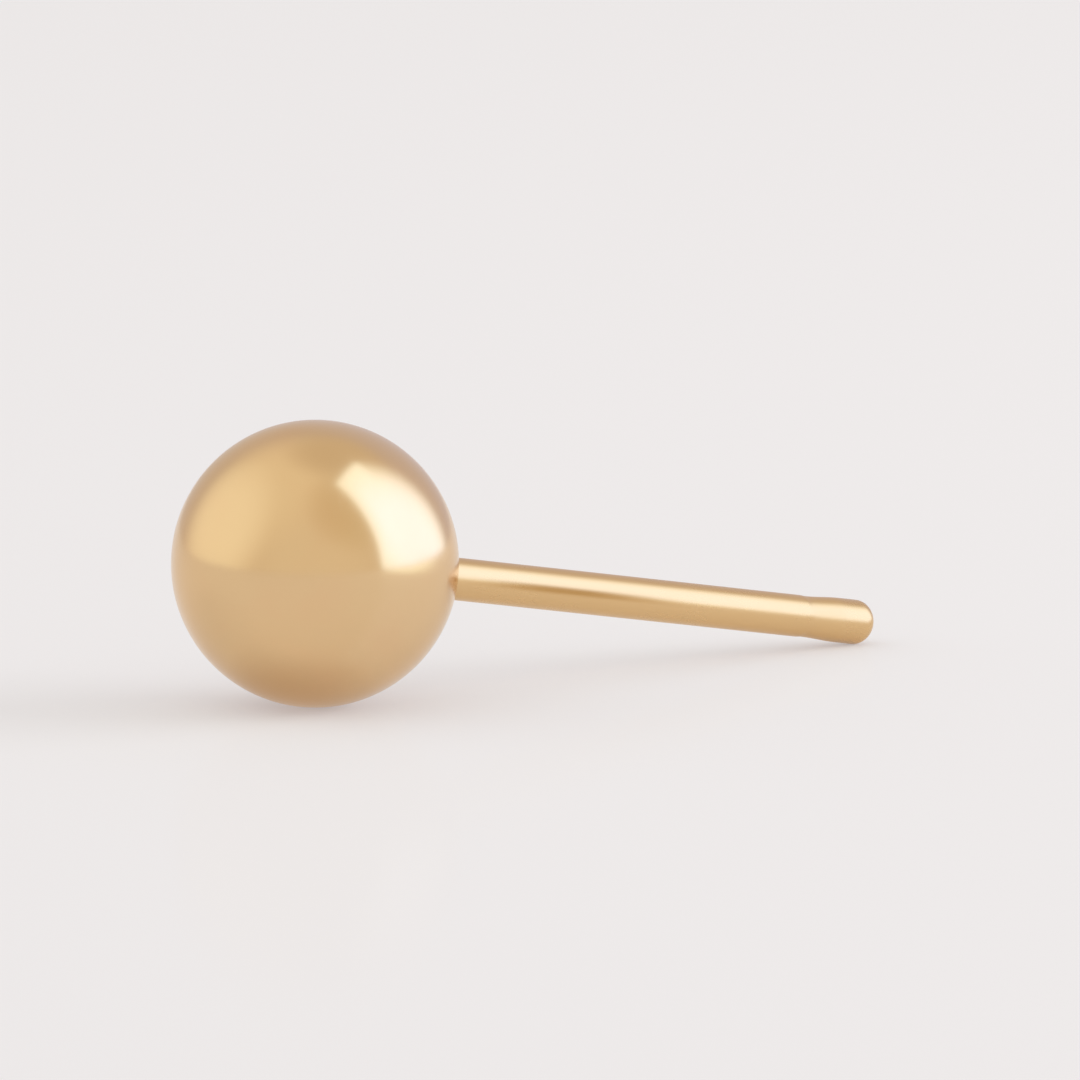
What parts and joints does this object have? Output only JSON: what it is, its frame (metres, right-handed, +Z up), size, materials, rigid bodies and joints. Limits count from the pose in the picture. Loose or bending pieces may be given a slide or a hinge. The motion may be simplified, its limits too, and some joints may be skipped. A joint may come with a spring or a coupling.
{
  "type": "ball stud earring",
  "caption": "Plain polished gold bead on a straight ear post with a friction groove and a rounded tip, lying on the bead and the tip.",
  "frame": {"origin": "middle of the footprint, on the surface that the earring lies on", "axes": "+X is the way that the post points, seen from above, from the bead to the tip. +Z is up."},
  "size_m": [0.0148, 0.005, 0.005],
  "materials": {
    "gold": "high polish yellow gold"
  },
  "bodies": {
    "root": {"ball_stud": "gold"}
  },
  "joints": []
}
